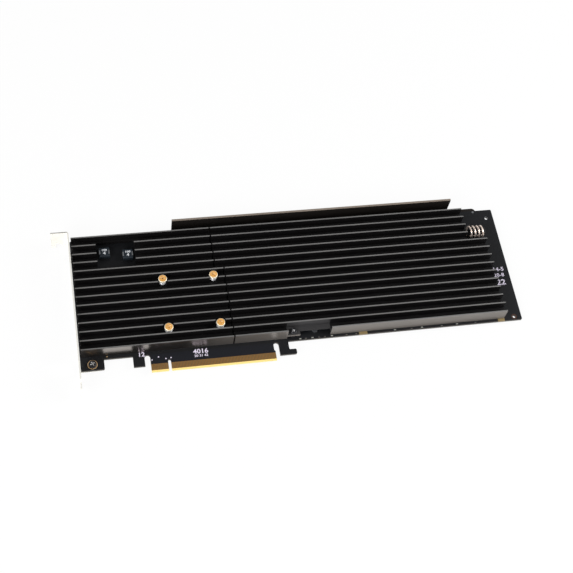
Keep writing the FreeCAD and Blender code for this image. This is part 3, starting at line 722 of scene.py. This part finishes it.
# bare metal on the board: gold round the lower bracket screw and on a dot, dull copper round the
# lower extender hole, tin round the upper one and on a dot; a dot's place comes before its inner
# and outer radius
pads = {
    "thickness": 0.04, "sides": 32, "screw": (2.8, 3.4), "goldDot": (-41.1, 14.45, 0, 0.4),
    "extenderLow": (1.15, 2.1), "extenderHigh": (1.15, 1.4), "tinDot": (238.6, 105.6, 0, 0.8),
    "extenderInset": 5.45, "extenderRise": 16.0, "extenderDrop": 7.25,
}


def addRing(name, x, y, inner, outer, thickness=pads["thickness"]):  # lies on the board's face
    ring = addDisc(name, outer * mm, 0, thickness * mm, pads["sides"])
    if inner:
        cutAway(ring, addDisc("ringHole", inner * mm, -mm, mm, pads["sides"]))
    ring.location = (x * mm, y * mm, 0)
    return bakePlace(ring)


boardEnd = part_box("circuit_board")[1] / mm
extenderX = boardEnd.x - pads["extenderInset"]
screwPad = addRing("screwPad", tabSpots[0].x / mm, tabSpots[0].y / mm, *pads["screw"])
goldDot = addRing("goldDot", *pads["goldDot"])
settle(joinPieces([screwPad, goldDot], "barePads"), ringPlate)
upperPad = addRing("upperPad", extenderX, boardEnd.y - pads["extenderDrop"], *pads["extenderHigh"])
tinDot = addRing("tinDot", *pads["tinDot"])
settle(joinPieces([upperPad, tinDot], "tinPads"), tin)
lowerPad = addRing("lowerPad", extenderX, pads["extenderRise"], *pads["extenderLow"])
settle(joinPieces([lowerPad], "copperPad"), dullCopper)

# plain numbers and dots printed in white, which name nothing: text, height, X and Y of the
# middle, and the dots' X and Y
printed = {
    "thickness": 0.03, "stretch": 1.1, "dotRadius": 0.45,
    "lines": [("12", 3.0, -18.3, 13.5), ("4016", 3.3, 21.7, 12.0), ("20 31 42", 1.7, 21.8, 8.8),
              ("14-5", 3.0, 245.6, 55.3), ("20-8", 2.7, 245.1, 50.5), ("22", 4.3, 245.2, 44.4)],
    "dots": [(-11.6, 8.9), (-7.05, 10.7), (-2.2, 9.0), (1.24, 9.4)],
}
inked = []
for text, height, x, y in printed["lines"]:
    inked.append(addDigits("printedLine", text, height, (x * mm, y * mm, 0),
                           printed["thickness"], printed["stretch"]))
for x, y in printed["dots"]:
    inked.append(addRing("printedDot", x, y, 0, printed["dotRadius"], printed["thickness"]))
settle(joinPieces(inked, "boardPrint"), ink)
print("pads and printing added")

# the camera's place, its lens, and where its right, its down and its ahead point
view = {
    "place": Vector((-0.0647, -0.34213, 0.72794)), "lens": 75.16,
    "right": (0.9798, -0.16185, 0.11748), "down": (-0.08418, -0.86661, -0.49183),
    "ahead": (0.18141, 0.472, -0.86273), "sensor": 36, "nearest": 0.05, "farthest": 20,
}
cameraData = bpy.data.cameras.new("camera")
cameraData.lens = view["lens"]
cameraData.sensor_width = view["sensor"]
cameraData.clip_start = view["nearest"]
cameraData.clip_end = view["farthest"]
camera = bpy.data.objects.new("camera", cameraData)
bpy.context.scene.collection.objects.link(camera)
right, up, back = Vector(view["right"]), -Vector(view["down"]), -Vector(view["ahead"])
camera.matrix_world = Matrix.Translation(view["place"]) @ Matrix((right, up, back)).transposed().to_4x4()
bpy.context.scene.camera = camera
bpy.context.scene.view_settings.view_transform = "Standard"

# two soft lamps at the sides, each with its place from the card's middle, its size in metres and
# its power; overhead stays dim, so that polished tops read deep
white = (1, 1, 1, 1)
studio = {
    "lamps": [("frontLeftSoft", (-0.95, -0.75, 0.75), 0.8, 15.0),
              ("rightSoft", (1.15, -0.1, 0.7), 0.8, 13.0)],
    "horizon": 0.9, "overhead": 0.12, "bandLow": 0.2, "bandHigh": 0.72,
    "floorSize": 8.0, "floorDrop": 0.02 * mm, "floorRough": 0.9, "floorGlow": 0.93,
}
cardMiddle = (cadLow + cadHigh) / 2
for name, offset, size, power in studio["lamps"]:
    data = bpy.data.lights.new(name, "AREA")
    data.shape = "DISK"
    data.size = size
    data.energy = power
    lamp = bpy.data.objects.new(name, data)
    bpy.context.scene.collection.objects.link(lamp)
    lamp.location = cardMiddle + Vector(offset)
    lamp.rotation_mode = "QUATERNION"
    lamp.rotation_quaternion = (-Vector(offset)).to_track_quat("-Z", "Y")

world = bpy.data.worlds.new("studio")
bpy.context.scene.world = world
world.use_nodes = True
tree = world.node_tree
coords = addNode(tree, "ShaderNodeTexCoord")
direction = addNode(tree, "ShaderNodeSeparateXYZ", {0: coords.outputs["Generated"]})
fade = addNode(tree, "ShaderNodeMapRange", {
    "Value": direction.outputs["Z"], "From Min": studio["bandLow"], "From Max": studio["bandHigh"],
    "To Min": studio["horizon"], "To Max": studio["overhead"]})
tree.links.new(fade.outputs[0], tree.nodes["Background"].inputs["Strength"])
tree.nodes["Background"].inputs["Color"].default_value = white

deselectAll()
bpy.ops.mesh.primitive_plane_add(
    size=studio["floorSize"], location=(cardMiddle.x, cardMiddle.y, cadLow.z - studio["floorDrop"]))
floor = bakePlace(nameNew("floor"))
# white studio paper: matt, and a plain white to the camera and in reflections
floorMaterial, tree, shader, coords = startMaterial("paperSweep", 0.0, studio["floorRough"])
shader.inputs["Base Color"].default_value = white
shader.inputs["Specular IOR Level"].default_value = 0.0
light = addNode(tree, "ShaderNodeLightPath")
mirrored = addNode(tree, "ShaderNodeMath", {
    0: light.outputs["Is Glossy Ray"], 1: light.outputs["Is Transmission Ray"]}, operation="MAXIMUM")
seen = addNode(tree, "ShaderNodeMath", {
    0: light.outputs["Is Camera Ray"], 1: mirrored.outputs[0]}, operation="MAXIMUM")
share = addNode(tree, "ShaderNodeMath", {0: seen.outputs[0], 1: studio["floorGlow"]}, operation="MULTIPLY")
glow = addNode(tree, "ShaderNodeEmission", {"Color": white, "Strength": 1.0})
blend = addNode(tree, "ShaderNodeMixShader", {0: share.outputs[0], 1: shader.outputs[0], 2: glow.outputs[0]})
tree.links.new(blend.outputs[0], tree.nodes["Material Output"].inputs["Surface"])
floor.data.materials.append(floorMaterial)
print("camera, lamps and floor set")
